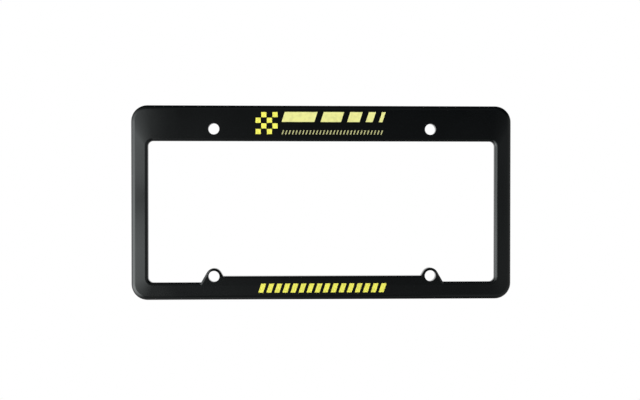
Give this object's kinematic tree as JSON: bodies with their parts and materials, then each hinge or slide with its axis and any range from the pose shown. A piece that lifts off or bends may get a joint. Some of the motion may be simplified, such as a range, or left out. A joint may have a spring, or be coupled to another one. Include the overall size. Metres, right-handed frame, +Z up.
{
  "type": "number plate holder",
  "caption": "Thin moulded plastic frame that clamps a number plate behind a wide window, with screw holes in the top bar and in ears on the bottom bar.",
  "frame": {"origin": "centre of the four screw holes, on the plane of the lip and bosses that bear on the number plate's face", "axes": "+X to the right along the plate seen from the front, +Y backwards into the vehicle, +Z up; the face looks towards -Y"},
  "size_m": [0.3134, 0.0076, 0.1598],
  "materials": {
    "frame_plastic": "smooth injection-moulded black plastic with a soft gloss",
    "print_ink": "bright lemon yellow screen-printed ink"
  },
  "bodies": {
    "root": {"frame": "frame_plastic", "top_print": "print_ink", "bottom_print": "print_ink"}
  },
  "joints": []
}
